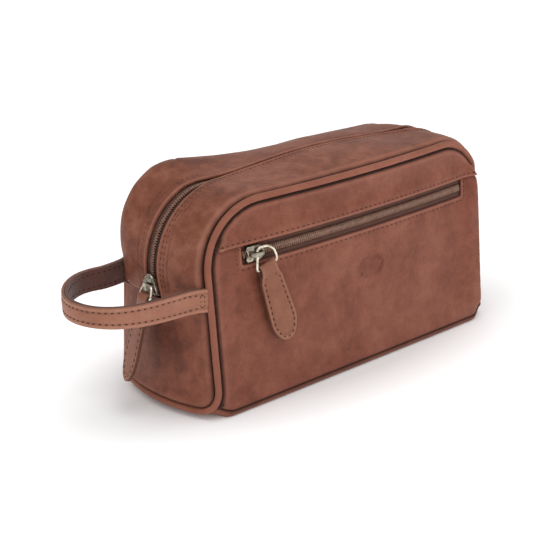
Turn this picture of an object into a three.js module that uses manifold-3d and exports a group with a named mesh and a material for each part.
// Soft shaving kit bag: a leather box-shaped pouch with a piped front and back,
// a zip over the top and both ends, a zipped front pocket and a side loop handle.
// Millimetres, +Z up. X runs along the bag, the front faces -Y, the handle is at -X.
import * as THREE from 'three';
import Module from 'manifold-3d';

// ---------------------------------------------------------------- dimensions
const L = 210;            // left piping to right piping
const H = 114.4;          // height of the piping along the top
const D_BOTTOM = 82.5;    // depth between the pipings at the base
const D_TOP = 62.6;       // depth between the pipings at the top corners
const BOW_FRONT = 7.5;    // how far the front's top edge bows out at mid length
const BOW_BACK = 5.0;
const END_BULGE = 10;     // how far each end bulges at mid depth
const R_CORNER = 35;      // top corners of front and back
const R_FOOT = 11;        // bottom corners of the ends
const R_BASE = 8;         // fold between front and base
const PIPE_R = 2.35;      // piping radius
const EDGE = 2.75;        // panel edge back from the piping's centre line
const LEATHER = 1.5;      // shell leather
const LINING = 0.8;
const GAP = 0.3;
const ZIP_GAP = 4.5;      // half width of the slot between the two top panels
const TAPE_IN = 3.5, TAPE_OUT = 14;   // zip tape, from the coil outwards
const COIL_IN = 0.15, COIL_OUT = 3.1; // one row of coil
const TRACK_X = 74.5, TRACK_Z = 77, TRACK_R = 40; // zip track round a top corner
const CROWN = 3.4;        // rise of the top between the corners
const MOUTH_X = 66;       // half length of the mouth's opening flaps
const FLAP_Y = 28.5;      // outer edge of a flap
const END_SEAM = 61;      // top of the lower end panels
const YOKE_Z = 91;        // lower edge of the front yoke
const WIN_X0 = -83.5, WIN_X1 = 87, WIN_Z0 = 80.7; // pocket zip window
const POCKET_Z = 85.9;    // pocket zip centre line
const STRAP_W = 12.6, STRAP_PIVOT = 116.6, STRAP_Z = 67;
const MAIN_ANGLE = -10.5; // slider's place on the corner track, degrees
const MAIN_TILT = 19.3;   // how far the pull hangs out from the vertical
const POCKET_X = -76, POCKET_TILT = 16;
const RING_WIRE = 0.75, HINGE_C = 4.0;

// ---------------------------------------------------------------- helpers
const wasm = await Module();
wasm.setup();
const V = (x, y, z) => new THREE.Vector3(x, y, z);
const rad = (d) => (d * Math.PI) / 180;
const clamp = (x, a, b) => Math.min(b, Math.max(a, x));
const smooth = (x) => { const t = clamp(x, 0, 1); return t * t * (3 - 2 * t); };
const lin = (a, b, n) => Array.from({ length: n + 1 }, (_, i) => a + ((b - a) * i) / n);
const colours = {
  leather: [0x8a4f38, 0.62, 0], piping: [0x84492f, 0.55, 0], lining: [0x4a3026, 0.85, 0],
  tape: [0x35221c, 0.9, 0], coil: [0x6d5a4c, 0.45, 0.1], brass: [0x8d7b55, 0.38, 0.9],
};
const group = new THREE.Group();
group.name = 'shaving_kit_bag';
function put(name, geometry, kind) {
  const [c, r, m] = colours[kind];
  const mesh = new THREE.Mesh(geometry, new THREE.MeshStandardMaterial({ color: c, roughness: r, metalness: m }));
  mesh.name = name;
  mesh.material.name = kind;
  group.add(mesh);
}

function fromTriangles(points, faces) {
  let vol = 0;
  for (const [a, b, c] of faces) vol += points[a].dot(points[b].clone().cross(points[c])) / 6;
  const pos = new Float32Array(faces.length * 9);
  faces.forEach((f, k) => {
    const g = vol < 0 ? [f[0], f[2], f[1]] : f;
    g.forEach((i, j) => points[i].toArray(pos, k * 9 + j * 3));
  });
  const geo = new THREE.BufferGeometry();
  geo.setAttribute('position', new THREE.BufferAttribute(pos, 3));
  geo.computeVertexNormals();
  return geo;
}

// A closed sheet of leather, lining or tape: surface(a, b) gives a point, place(u, v)
// the surface coordinates, and hi and lo the two faces' offsets along the normal.
function sheet(surface, place, us, vs, hi, lo, out, keep = () => true) {
  const e = 1e-3, pts = [], id = new Map();
  const val = (o, a, b) => (typeof o === 'function' ? o(a, b) : o);
  const node = (i, j, side) => {
    const key = `${i},${j},${side}`;
    if (id.has(key)) return id.get(key);
    const [a, b] = place(us[i], vs[j]);
    const p = surface(a, b);
    const da = surface(a + e, b).sub(surface(a - e, b));
    const db = surface(a, b + e).sub(surface(a, b - e));
    const n = da.cross(db).normalize();
    if (n.dot(out(p)) < 0) n.negate();
    pts.push(p.addScaledVector(n, val(side ? hi : lo, a, b)));
    id.set(key, pts.length - 1);
    return pts.length - 1;
  };
  const on = (i, j) => i >= 0 && j >= 0 && i < us.length - 1 && j < vs.length - 1
    && keep((us[i] + us[i + 1]) / 2, (vs[j] + vs[j + 1]) / 2);
  const faces = [], quad = (a, b, c, d) => faces.push([a, b, c], [a, c, d]);
  for (let i = 0; i < us.length - 1; i++) for (let j = 0; j < vs.length - 1; j++) {
    if (!on(i, j)) continue;
    quad(node(i, j, 1), node(i + 1, j, 1), node(i + 1, j + 1, 1), node(i, j + 1, 1));
    quad(node(i, j, 0), node(i, j + 1, 0), node(i + 1, j + 1, 0), node(i + 1, j, 0));
    if (!on(i, j - 1)) quad(node(i, j, 0), node(i + 1, j, 0), node(i + 1, j, 1), node(i, j, 1));
    if (!on(i + 1, j)) quad(node(i + 1, j, 0), node(i + 1, j + 1, 0), node(i + 1, j + 1, 1), node(i + 1, j, 1));
    if (!on(i, j + 1)) quad(node(i + 1, j + 1, 0), node(i, j + 1, 0), node(i, j + 1, 1), node(i + 1, j + 1, 1));
    if (!on(i - 1, j)) quad(node(i, j + 1, 0), node(i, j, 0), node(i, j, 1), node(i, j + 1, 1));
  }
  return fromTriangles(pts, faces);
}

// A round section swept along a closed path.
function ringSweep(path, r, sides) {
  const n = path.length, pts = [], faces = [];
  const tan = path.map((p, i) => path[(i + 1) % n].clone().sub(path[(i + n - 1) % n]).normalize());
  const nor = [];
  let m = Math.abs(tan[0].z) < 0.9 ? V(0, 0, 1) : V(1, 0, 0);
  m = m.clone().addScaledVector(tan[0], -m.dot(tan[0])).normalize();
  for (let i = 0; i < n; i++) {
    if (i) m = m.clone().addScaledVector(tan[i], -m.dot(tan[i])).normalize();
    nor.push(m);
  }
  const back = m.clone().addScaledVector(tan[0], -m.dot(tan[0])).normalize();
  const twist = Math.atan2(back.dot(tan[0].clone().cross(nor[0])), back.dot(nor[0]));
  for (let i = 0; i < n; i++) {
    const b = tan[i].clone().cross(nor[i]);
    for (let k = 0; k < sides; k++) {
      const a = (2 * Math.PI * k) / sides - (twist * i) / n;
      pts.push(path[i].clone().addScaledVector(nor[i], r * Math.cos(a)).addScaledVector(b, r * Math.sin(a)));
    }
  }
  for (let i = 0; i < n; i++) for (let k = 0; k < sides; k++) {
    const i2 = (i + 1) % n, k2 = (k + 1) % sides;
    faces.push([i * sides + k, i2 * sides + k, i2 * sides + k2], [i * sides + k, i2 * sides + k2, i * sides + k2]);
  }
  return fromTriangles(pts, faces);
}

function solid(geometry) {
  const src = geometry.index ? geometry.toNonIndexed() : geometry;
  const p = src.attributes.position, seen = new Map(), vert = [], tri = [];
  for (let i = 0; i < p.count; i++) {
    const key = [p.getX(i), p.getY(i), p.getZ(i)].map((x) => Math.round(x * 1e5)).join();
    if (!seen.has(key)) { seen.set(key, vert.length / 3); vert.push(p.getX(i), p.getY(i), p.getZ(i)); }
    tri.push(seen.get(key));
  }
  return new wasm.Manifold(new wasm.Mesh({
    numProp: 3, vertProperties: new Float32Array(vert), triVerts: new Uint32Array(tri),
  }));
}
function shape(man, place) {
  const m = man.getMesh(), pts = [], faces = [];
  for (let i = 0; i < m.vertProperties.length; i += m.numProp)
    pts.push(place(m.vertProperties[i], m.vertProperties[i + 1], m.vertProperties[i + 2]));
  for (let i = 0; i < m.triVerts.length; i += 3) faces.push([m.triVerts[i], m.triVerts[i + 1], m.triVerts[i + 2]]);
  return fromTriangles(pts, faces);
}
// A straight prism over an outline, with or without holes.
function extrude(outline, z0, z1, curve = 6) {
  const tidy = (pts) => {
    const out = pts.filter((p, i) => i === 0 || p.distanceTo(pts[i - 1]) > 1e-4);
    if (out[0].distanceTo(out[out.length - 1]) < 1e-4) out.pop();
    return out;
  };
  const { shape: rim, holes } = outline.extractPoints(curve);
  let contour = tidy(rim);
  if (THREE.ShapeUtils.isClockWise(contour)) contour.reverse();
  const rings = [contour, ...holes.map((h) => { const q = tidy(h); return THREE.ShapeUtils.isClockWise(q) ? q : q.reverse(); })];
  const flat = rings.flat(), n = flat.length, pts = [...flat.map((p) => V(p.x, p.y, z0)), ...flat.map((p) => V(p.x, p.y, z1))];
  const faces = [];
  for (const [a, b, c] of THREE.ShapeUtils.triangulateShape(contour, rings.slice(1))) faces.push([a + n, b + n, c + n], [a, c, b]);
  let base = 0;
  for (const q of rings) {
    q.forEach((_, i) => {
      const a = base + i, b = base + ((i + 1) % q.length);
      faces.push([a, b, b + n], [a, b + n, a + n]);
    });
    base += q.length;
  }
  return fromTriangles(pts, faces);
}
const box = (x0, x1, y0, y1, z0, z1) => new THREE.BoxGeometry(x1 - x0, y1 - y0, z1 - z0)
  .translate((x0 + x1) / 2, (y0 + y1) / 2, (z0 + z1) / 2);

// ---------------------------------------------------------------- bag surfaces
const half = (z) => (D_BOTTOM + ((D_TOP - D_BOTTOM) * z) / H) / 2;
const Z_FOLD = LEATHER / 2 + R_BASE;
const bow = (x, z, side) => (side < 0 ? BOW_FRONT : BOW_BACK)
  * Math.pow(clamp((z - Z_FOLD) / (H - Z_FOLD), 0, 1), 1.4) * (1 - Math.min(1, (x / (L / 2)) ** 2));
const depth = (x, z, side) => half(z) + bow(x, z, side);
const Y_FLAT = half(Z_FOLD) - R_BASE;           // half width of the flat base
const ARC = (R_BASE * Math.PI) / 2;
const endX = (y) => L / 2 + END_BULGE * Math.max(0, 1 - (y / (D_BOTTOM / 2)) ** 2);
const lift = (x, y) => 3 * Math.max(0, (Math.abs(x) - (endX(y) - 12)) / 12) ** 2;

// Front, base and back as one strip: p is the distance across it from the base's middle.
function body(x, p) {
  const s = p < 0 ? -1 : 1, a = Math.abs(p);
  if (a < Y_FLAT) return V(x, s * a, LEATHER / 2 + lift(x, a));
  if (a < Y_FLAT + ARC) {
    const b = (a - Y_FLAT) / R_BASE, y = Y_FLAT + R_BASE * Math.sin(b);
    return V(x, s * y, Z_FOLD - R_BASE * Math.cos(b) + lift(x, y) * Math.cos(b));
  }
  const z = Z_FOLD + (a - Y_FLAT - ARC);
  return V(x, s * depth(x, z, s), z);
}
const across = (z) => Y_FLAT + ARC + z - Z_FOLD;  // p of a height on front or back
const SEAM_P = Y_FLAT + (R_BASE * Math.PI) / 3;   // front and base meet on the fold
const corner = (z, cut) => (z < H - R_CORNER ? L / 2 - cut
  : L / 2 - R_CORNER + Math.sqrt(Math.max(0, (R_CORNER - cut) ** 2 - (z - (H - R_CORNER)) ** 2)));
function stripX(p, cut) {
  const a = Math.abs(p);
  if (a >= Y_FLAT + ARC) return corner(Z_FOLD + a - Y_FLAT - ARC, cut);
  const y = a < Y_FLAT ? a : Y_FLAT + R_BASE * Math.sin((a - Y_FLAT) / R_BASE);
  return endX(y) - cut;
}
const outFrom = (p) => V(p.x * 0.15, p.y, p.z - 55);

// Lower end panels: x of the surface at (y, z) for the end at +X or -X.
function bulge(z) {
  const track = (q) => TRACK_X + Math.sqrt(TRACK_R ** 2 - (TRACK_Z - q) ** 2) - L / 2;
  if (z >= END_SEAM) return track(Math.min(z, TRACK_Z));
  return track(END_SEAM) + (END_BULGE - track(END_SEAM)) * smooth((END_SEAM - z) / 28);
}
const fall = (t) => 1 - Math.pow(Math.min(1, Math.abs(t)), 2.2);
const endSurface = (side) => (y, z) => V(side * (L / 2 + bulge(z) * fall(y / half(z))), y, z);
function endY(z, cut) {
  const zc = 4 + R_FOOT;
  if (z >= zc) return half(z) - cut;
  return half(zc) - R_FOOT + Math.sqrt(Math.max(0, (R_FOOT - cut) ** 2 - (zc - z) ** 2));
}

// Top strip: s runs up the left end, round the corner, along the top and down the right.
function pipeAt(deg) {                           // piping seen from the track's centre
  const c = Math.cos(rad(deg)), s = Math.sin(rad(deg));
  let lo = 10, hi = 80;
  for (let k = 0; k < 50; k++) {
    const r = (lo + hi) / 2, x = TRACK_X + r * c, z = TRACK_Z + r * s;
    const dx = x - (L / 2 - R_CORNER), dz = z - (H - R_CORNER);
    const inside = dx > 0 && dz > 0 ? Math.hypot(dx, dz) < R_CORNER : x < L / 2 && z < H;
    if (inside) lo = r; else hi = r;
  }
  return [TRACK_X + lo * c, TRACK_Z + lo * s];
}
function stripLine(s) {                          // [piping x, z, crown x, z], right half mirrored
  if (s > 1.5) { const q = stripLine(3 - s); return [-q[0], q[1], -q[2], q[3]]; }
  if (s < 0) {
    const z = TRACK_Z + (TRACK_Z - END_SEAM) * s;
    return [-L / 2, z, -(L / 2 + bulge(z)), z];
  }
  if (s <= 1) {
    const [px, pz] = pipeAt(90 * s);
    return [-px, pz, -(TRACK_X + TRACK_R * Math.cos(rad(90 * s))), TRACK_Z + TRACK_R * Math.sin(rad(90 * s))];
  }
  const x = -TRACK_X + 2 * TRACK_X * (s - 1);
  return [x, H, x, TRACK_Z + TRACK_R + CROWN * (1 - (x / TRACK_X) ** 2) ** 2];
}
const topSurface = (side) => (s, y) => {
  const [px, pz, cx, cz] = stripLine(s), w = fall(y / depth(px, pz, side));
  return V(px + (cx - px) * w, side * y, pz + (cz - pz) * w);
};
const outTop = (p) => V(p.x, 0, p.z - 40);
const S0 = 1 + (TRACK_X - MOUTH_X) / (2 * TRACK_X), S1 = 3 - S0, DS = GAP / (2 * TRACK_X);

// ---------------------------------------------------------------- shell panels
const T = LEATHER / 2;
const xs = [-1, -0.93, -0.82, -0.66, -0.48, -0.28, -0.09, 0.09, 0.28, 0.48, 0.66, 0.82, 0.93, 1];
const topRows = [0.35, 0.62, 0.82, 0.94, 1].map((t) => H - R_CORNER + (R_CORNER - EDGE) * t);
const stripPlace = (cut) => (u, p) => [u * stripX(p, cut), p];

put('base_panel', sheet(body, stripPlace(EDGE), [-1, -0.94, -0.88, -0.6, -0.3, 0, 0.3, 0.6, 0.88, 0.94, 1],
  [-SEAM_P, -Y_FLAT - 3.5, -Y_FLAT, -Y_FLAT / 2, 0, Y_FLAT / 2, Y_FLAT, Y_FLAT + 3.5, SEAM_P], T, -T, outFrom), 'leather');

put('back_panel', sheet(body, stripPlace(EDGE), xs,
  [SEAM_P + GAP, Y_FLAT + ARC, ...[22, 40, 60, H - R_CORNER, ...topRows].map(across)], T, -T, outFrom), 'leather');

// The pocket panel has a slot along its top for the pocket zip.
{
  const inner = (L / 2 - EDGE);
  const cols = [-1, -0.93, -0.875, WIN_X0 / inner, -0.66, -0.48, -0.28, -0.09, 0.09, 0.28, 0.48, 0.66, WIN_X1 / inner, 0.9, 0.95, 1];
  const rows = [-SEAM_P - GAP, -Y_FLAT - ARC, ...[22, 40, 60, 72, WIN_Z0, YOKE_Z - GAP].map((z) => -across(z))];
  const place = (u, p) => {
    const x = u * inner, lim = stripX(p, EDGE);
    const edge = Math.abs(u) > 0.875 ? Math.sign(u) * (0.875 * inner + ((Math.abs(u) - 0.875) / 0.125) * (lim - 0.875 * inner)) : x;
    return [edge, p];
  };
  put('front_pocket_panel', sheet(body, place, cols, rows, T, -T, outFrom,
    (u, p) => !(u * inner > WIN_X0 && u * inner < WIN_X1 && -p > across(WIN_Z0))), 'leather');
}

// The yoke ends in a folded hem that stands proud of the pocket panel.
put('front_yoke_panel', sheet(body, stripPlace(EDGE), xs,
  [YOKE_Z, YOKE_Z + 5.5, YOKE_Z + 8, 102, 106.5, 109.8, H - EDGE].map((z) => -across(z)),
  (x, p) => T + (-p < across(YOKE_Z + 6) ? 1.4 : 0), -T, outFrom), 'leather');

for (const [side, name] of [[-1, 'left'], [1, 'right']]) {
  const zs = [4 + EDGE, 5 + EDGE, 7.5 + EDGE, 15, 24, 33, 42, 50, END_SEAM - GAP];
  put(`end_panel_${name}`, sheet(endSurface(side), (u, z) => [u * endY(z, EDGE), z],
    [-1, -0.8, -0.6, -0.36, -0.12, 0.12, 0.36, 0.6, 0.8, 1], zs, T, -T, (p) => V(p.x, 0, 0)), 'leather');
  put(`end_lining_${name}`, sheet(endSurface(side), (u, z) => [u * (half(z) - 7), z],
    [-1, -0.5, 0, 0.5, 1], [14, 30, 45, END_SEAM - 3], -T - GAP - 0.1, -T - GAP - 0.1 - LINING, (p) => V(p.x, 0, 0)), 'lining');
}

// Top strip halves, notched for the mouth's flaps.
const sRows = [-1, -0.5, 0, 0.14, 0.28, 0.42, 0.56, 0.7, 0.85, 1, S0];
const sAll = [...sRows, 1.25, 1.5, 1.75, ...sRows.map((s) => 3 - s).reverse()];
for (const [side, name] of [[-1, 'front'], [1, 'back']]) {
  const F = topSurface(side);
  const place = (s, v) => {
    const [px, pz] = stripLine(s), y1 = depth(px, pz, side) - EDGE, y0 = FLAP_Y + 0.5;
    return [s, v < 1 ? ZIP_GAP + (y0 - ZIP_GAP) * v : y0 + (y1 - y0) * (v - 1)];
  };
  put(`gusset_${name}`, sheet(F, place, sAll, [0, 0.5, 1, 2], T, -T, outTop,
    (s, v) => !(s > S0 && s < S1 && v < 1)), 'leather');
  const flapS = lin(S0 + DS, S1 - DS, 8), id = (s, y) => [s, y];
  put(`flap_panel_${name}`, sheet(F, id, flapS, [ZIP_GAP, 12, 20, FLAP_Y], T, -T, outTop), 'leather');
  const tapeHi = -T - 0.3, tapeLo = -T - 1.1;
  const left = [-0.98, ...sRows.slice(1, -1), S0 - DS], right = left.map((s) => 3 - s).reverse();
  const coilL = [-0.97, ...sRows.slice(1, -1), S0 - DS], coilR = coilL.map((s) => 3 - s).reverse();
  put(`main_tape_${name}_left`, sheet(F, id, left, [TAPE_IN, TAPE_OUT], tapeHi, tapeLo, outTop), 'tape');
  put(`main_tape_${name}_right`, sheet(F, id, right, [TAPE_IN, TAPE_OUT], tapeHi, tapeLo, outTop), 'tape');
  put(`flap_tape_${name}`, sheet(F, id, flapS, [TAPE_IN, TAPE_OUT], tapeHi, tapeLo, outTop), 'tape');
  put(`main_coil_${name}_left`, sheet(F, id, coilL, [COIL_IN, COIL_OUT], 0.8, -1.4, outTop), 'coil');
  put(`main_coil_${name}_right`, sheet(F, id, coilR, [COIL_IN, COIL_OUT], 0.8, -1.4, outTop), 'coil');
  put(`flap_coil_${name}`, sheet(F, id, flapS, [COIL_IN, COIL_OUT], 0.8, -1.4, outTop), 'coil');
}

// ---------------------------------------------------------------- piping
{
  const quarter = [];                            // front left: top centre to end's foot
  const zc = 4 + R_FOOT, yc = half(zc) - R_FOOT;
  for (const x of [-12, -25, -38, -50, -61]) quarter.push([x, H]);
  for (const a of lin(0, 90, 8)) quarter.push([-(L / 2 - R_CORNER) - R_CORNER * Math.sin(rad(a)), H - R_CORNER + R_CORNER * Math.cos(rad(a))]);
  for (const z of [64, 48, 32, 22]) quarter.push([-L / 2, z]);
  const side = (s) => {
    const out = quarter.map(([x, z]) => V(x, s * depth(x, z, s), z));
    for (const a of lin(0, 90, 4)) {
      const y = yc + R_FOOT * Math.cos(rad(a));
      out.push(V(a === 0 ? -L / 2 : -endX(y), s * y, zc - R_FOOT * Math.sin(rad(a))));
    }
    return out;
  };
  const frontLeft = side(-1), backLeft = side(1);
  const foot = [-yc * 0.66, -yc * 0.33, 0, yc * 0.33, yc * 0.66].map((y) => V(-endX(y), y, 4));
  const leftHalf = [V(0, -depth(0, H, -1), H), ...frontLeft, ...foot, ...backLeft.slice().reverse(), V(0, depth(0, H, 1), H)];
  const rightHalf = leftHalf.slice(1, -1).reverse().map((p) => V(-p.x, p.y, p.z));
  put('piping_loop', ringSweep([...leftHalf, ...rightHalf], PIPE_R, 6), 'piping');
}

// ---------------------------------------------------------------- lining
{
  const hi = -T - GAP - 0.1, lo = hi - LINING;
  const place = (cut) => (u, p) => [u * (stripX(p, EDGE) - cut), p];
  const fade = (x, p) => smooth((corner(Math.min(H, Z_FOLD - ARC - Y_FLAT + Math.abs(p)), EDGE) - 4 - Math.abs(x)) / 12)
    * smooth((Math.abs(p) - across(12)) / 10) * smooth((across(H - 6) - Math.abs(p)) / 8);
  const lx = [-1, -0.94, -0.88, -0.5, 0, 0.5, 0.88, 0.94, 1];
  put('front_lining', sheet(body, place(4), lx, [14, 19, 24, 40, 60, 80, 94, 101, 104.5, H - 6.5].map((z) => -across(z)),
    (x, p) => hi - 7 * fade(x, p), (x, p) => lo - 7 * fade(x, p), outFrom), 'lining');
  put('back_lining', sheet(body, place(4), [-1, -0.66, -0.33, 0, 0.33, 0.66, 1], [14, 40, 66, H - R_CORNER, 92, 102, H - 6.5].map(across), hi, lo, outFrom), 'lining');
  put('base_lining', sheet(body, place(7), [-1, -0.5, 0, 0.5, 1], [-Y_FLAT + 1, 0, Y_FLAT - 1], hi, lo, outFrom), 'lining');
}

// ---------------------------------------------------------------- pocket zip
{
  const id = (x, z) => [x, -across(z)];
  const wx = lin(WIN_X0 - 4, WIN_X1 + 2, 12), cx = lin(WIN_X0 + 0.4, WIN_X1 - 0.4, 12);
  put('pocket_tape_upper', sheet(body, id, wx, [POCKET_Z + TAPE_IN, POCKET_Z + TAPE_OUT - 4], -T - 0.3, -T - 1.1, outFrom), 'tape');
  put('pocket_tape_lower', sheet(body, id, wx, [POCKET_Z - TAPE_OUT + 2, POCKET_Z - TAPE_IN], -T - 0.3, -T - 1.1, outFrom), 'tape');
  put('pocket_coil_upper', sheet(body, id, cx, [POCKET_Z + COIL_IN, POCKET_Z + COIL_OUT], 0.8, -1.4, outFrom), 'coil');
  put('pocket_coil_lower', sheet(body, id, cx, [POCKET_Z - COIL_OUT, POCKET_Z - COIL_IN], 0.8, -1.4, outFrom), 'coil');
}

// ---------------------------------------------------------------- sliders, rings, pulls
// Local axes: a along the travel, b across it, c out of the surface.
const frame = (o, A, B, C) => (a, b, c) => o.clone().addScaledVector(A, a).addScaledVector(B, b).addScaledVector(C, c);
function sliderSolid() {
  const plate = new THREE.Shape();
  plate.moveTo(-6, -2.6); plate.lineTo(-4.4, -4.2); plate.lineTo(3.2, -4.2); plate.quadraticCurveTo(5.6, -3.4, 6, 0);
  plate.quadraticCurveTo(5.6, 3.4, 3.2, 4.2); plate.lineTo(-4.4, 4.2); plate.lineTo(-6, 2.6); plate.closePath();
  const arch = new THREE.Shape();
  arch.moveTo(-4.4, 2.5); arch.lineTo(-4.1, 4.6); arch.quadraticCurveTo(-3.6, 6.3, -1.8, 6.3);
  arch.lineTo(1.8, 6.3); arch.quadraticCurveTo(3.6, 6.3, 4.1, 4.6); arch.lineTo(4.4, 2.5); arch.closePath();
  const hole = new THREE.Path();
  hole.moveTo(-2.7, 2.65); hole.lineTo(-2.4, 4.6); hole.lineTo(-1.5, 5.2); hole.lineTo(1.5, 5.2); hole.lineTo(2.4, 4.6); hole.lineTo(2.7, 2.65); hole.closePath();
  arch.holes.push(hole);
  const up = solid(extrude(arch, -1.1, 1.1, 4).rotateX(Math.PI / 2));
  return solid(extrude(plate, 1.5, 2.8, 4)).add(solid(box(-5, 3, 3.3, 4.2, -0.6, 2))).add(solid(box(-5, 3, -4.2, -3.3, -0.6, 2))).add(up);
}
// A folded leather pull on a bar: the bar lies along b at d = 0 and the pull runs along +d.
function pullSolid() {
  const o = new THREE.Shape();
  o.moveTo(-5.2, 0.5); o.lineTo(-5.4, 2.6); o.quadraticCurveTo(-6.2, 5.2, -7.2, 8); o.lineTo(-8.6, 32);
  o.bezierCurveTo(-8.9, 40, -5.4, 45.5, 0, 45.5); o.bezierCurveTo(5.4, 45.5, 8.9, 40, 8.6, 32);
  o.lineTo(7.2, 8); o.quadraticCurveTo(6.2, 5.2, 5.4, 2.6); o.lineTo(5.2, 0.5); o.closePath();
  const leaf = solid(extrude(o, -1.4, 1.4, 7));
  const fold = solid(new THREE.CylinderGeometry(2.25, 2.25, 10.4, 14).rotateZ(Math.PI / 2));
  const eye = solid(new THREE.CylinderGeometry(1.05, 1.05, 30, 12).rotateZ(Math.PI / 2));
  return leaf.add(fold).subtract(eye);
}
function wire(points, place, r = RING_WIRE) {
  const curve = new THREE.CatmullRomCurve3(points.map(([a, b, c]) => V(a, b, c)), true, 'catmullrom', 0.35);
  return ringSweep(curve.getPoints(44).slice(0, -1).map((p) => place(p.x, p.y, p.z)), r, 8);
}

// Main slider on the corner track, with its ring and pull hanging out from the end.
{
  const f = rad(MAIN_ANGLE);
  const A = V(Math.sin(f), 0, Math.cos(f)), C = V(-Math.cos(f), 0, Math.sin(f)), B = V(0, 1, 0);
  const o = V(-TRACK_X - TRACK_R * Math.cos(f), 0, TRACK_Z + TRACK_R * Math.sin(f));
  put('main_slider', shape(sliderSolid(), frame(o, A, B, C)), 'brass');
  const h = frame(o, A, B, C)(0, 0, HINGE_C), t = rad(MAIN_TILT);
  const down = V(-Math.sin(t), 0, -Math.cos(t)), face = V(-Math.cos(t), 0, Math.sin(t));
  const hang = frame(h, B, down, face);            // (b, d, c)
  put('main_ring', wire([[0, 0, 0], [2.6, 0, 0], [4.4, 0.3, 0], [5.6, 2.4, 0], [6.6, 5.2, 0], [5.8, 6.5, 0], [3, 6.5, 0],
    [-3, 6.5, 0], [-5.8, 6.5, 0], [-6.6, 5.2, 0], [-5.6, 2.4, 0], [-4.4, 0.3, 0], [-2.6, 0, 0]], hang), 'brass');
  put('main_pull', shape(pullSolid(), frame(frame(h, B, down, face)(0, 6.5, 0), B, down, face)), 'leather');
}

// Pocket slider: its ring is hooked by one leg, the pull hangs to the right of it.
{
  const e = 0.01, pt = (x, z) => body(x, -across(z));
  const A = pt(POCKET_X + e, POCKET_Z).sub(pt(POCKET_X - e, POCKET_Z)).normalize();
  const up = pt(POCKET_X, POCKET_Z + e).sub(pt(POCKET_X, POCKET_Z - e)).normalize();
  const C = A.clone().cross(up).normalize();
  if (C.y > 0) C.negate();
  const B = C.clone().cross(A).normalize();
  const o = pt(POCKET_X, POCKET_Z);
  put('pocket_slider', shape(sliderSolid(), frame(o, A, B, C)), 'brass');
  const t = rad(POCKET_TILT);
  const at = frame(o, A, B, C);
  put('pocket_ring', wire([[0, 1.6, 4], [0, -1.6, 4], [-0.5, -5.4, 4], [-0.4, -9.4, 4], [3.5, -8.75, 4], [8.5, -7.3, 4],
    [11.8, -6.1, 4], [12.3, -3.9, 4], [10.6, 0.3, 4], [6.6, 2.9, 4], [1.8, 3, 4]], at), 'brass');
  const right = A.clone().multiplyScalar(Math.cos(t)).addScaledVector(B, Math.sin(t));
  const down = A.clone().multiplyScalar(Math.sin(t)).addScaledVector(B, -Math.cos(t));
  put('pocket_pull', shape(pullSolid(), frame(at(5.9, -8.05, 4), right, down, C)), 'leather');
}

// ---------------------------------------------------------------- handle
{
  const plan = [[-125, -30.5], [-138, -29], [-149, -25.5], [-157.5, -19.5], [-163, -11], [-165, -1], [-163.5, 9],
    [-158, 19], [-150, 27], [-140, 32], [-131, 32.6], [-125, 31.2]];
  const mid = new THREE.CatmullRomCurve3(plan.map(([x, y]) => V(x, y, 0)), false, 'catmullrom', 0.5);
  const x0 = -STRAP_PIVOT + STRAP_W / 2, r = STRAP_W / 2;
  const ends = [0.04, 0.6, 1.8, 3.4, 5.4, 7.5, 12].map((d) => x0 - d);
  const list = [...ends.map((x) => [x, -30.5]), ...mid.getPoints(20).map((p) => [p.x, p.y]), ...ends.slice().reverse().map((x) => [x, 31.2])];
  const line = (l) => {
    const i = clamp(Math.floor(l), 0, list.length - 2), t = l - i;
    return V(list[i][0] + (list[i + 1][0] - list[i][0]) * t, list[i][1] + (list[i + 1][1] - list[i][1]) * t, 0);
  };
  const normalAt = (i) => {
    const a = list[Math.max(0, i - 1)], b = list[Math.min(list.length - 1, i + 1)];
    const t = V(b[0] - a[0], b[1] - a[1], 0).normalize();
    return V(-t.y, t.x, 0);                        // points into the loop for this direction
  };
  const wide = (i) => { const d = list[i][0] + STRAP_PIVOT; return d > 0 ? Math.sqrt(Math.max(0.02, r * r - d * d)) : r; };
  const layer = (c0, c1) => {
    const pts = [], faces = [];
    list.forEach((q, i) => {
      const n = normalAt(i), w = wide(i), c = line(i);
      for (const [k, s] of [[c0, -1], [c1, -1], [c1, 1], [c0, 1]]) pts.push(c.clone().addScaledVector(n, k).add(V(0, 0, STRAP_Z + s * w)));
    });
    const n = list.length, quad = (a, b, c, d) => faces.push([a, b, c], [a, c, d]);
    for (let i = 0; i < n - 1; i++) for (let k = 0; k < 4; k++) quad(4 * i + k, 4 * i + ((k + 1) % 4), 4 * i + 4 + ((k + 1) % 4), 4 * i + 4 + k);
    quad(0, 3, 2, 1); quad(4 * n - 4, 4 * n - 3, 4 * n - 2, 4 * n - 1);
    return fromTriangles(pts, faces);
  };
  // the path runs front root, tip, back root, so the normal's positive side is the inside
  const s = Math.sign(normalAt(Math.round(list.length / 2)).x);
  put('handle_outer', layer(-0.6 * s, -1.75 * s), 'leather');
  put('handle_inner', layer(0.6 * s, 1.75 * s), 'leather');
  for (const [y, name] of [[-30.5, 'front'], [31.2, 'back']])
    put(`handle_tongue_${name}`, box(-124, x0, y - 0.3, y + 0.3, STRAP_Z - 5, STRAP_Z + 5), 'leather');
}

export default group;
